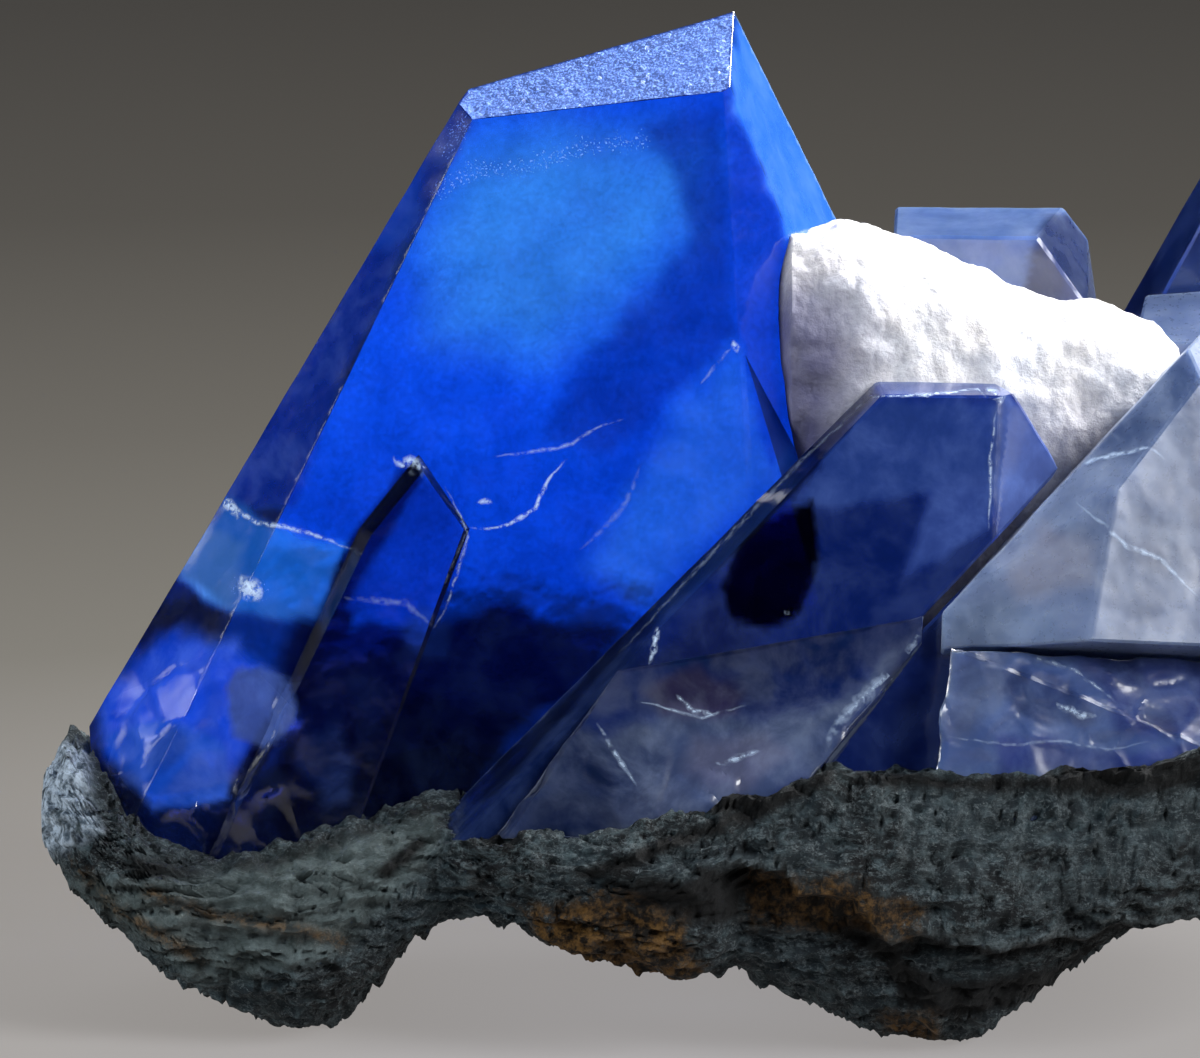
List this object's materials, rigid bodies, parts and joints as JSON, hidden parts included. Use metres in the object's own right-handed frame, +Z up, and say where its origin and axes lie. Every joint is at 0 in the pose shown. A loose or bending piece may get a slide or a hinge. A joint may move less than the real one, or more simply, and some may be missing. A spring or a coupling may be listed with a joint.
{
  "type": "benitoite crystal specimen",
  "caption": "Sharp clear blue benitoite crystal with smaller crystals, pale broken crystal pieces and white natrolite, resting upright on a thin slab of grey-green schist.",
  "frame": {"origin": "on the floor under the middle of the specimen's box", "axes": "+X along the slab towards its broken right end, +Y away from the front face of the main crystal, +Z up"},
  "size_m": [0.0402, 0.0212, 0.0301],
  "materials": {
    "schist": "rough",
    "deep_blue_crystal": "vitreous",
    "navy_crystal": "vitreous",
    "grey_blue_crystal": "vitreous",
    "pale_crystal": "vitreous",
    "natrolite": "sugary"
  },
  "bodies": {
    "root": {"matrix_rock": "schist", "main_crystal": "deep_blue_crystal", "second_crystal": "navy_crystal", "cleaved_block": "grey_blue_crystal", "dark_wedge": "navy_crystal", "pale_crystal": "pale_crystal", "glassy_chunk": "pale_crystal", "back_crystal_left": "grey_blue_crystal", "back_crystal_right": "navy_crystal", "back_crystal_low": "pale_crystal", "natrolite_lump": "natrolite"}
  },
  "joints": []
}
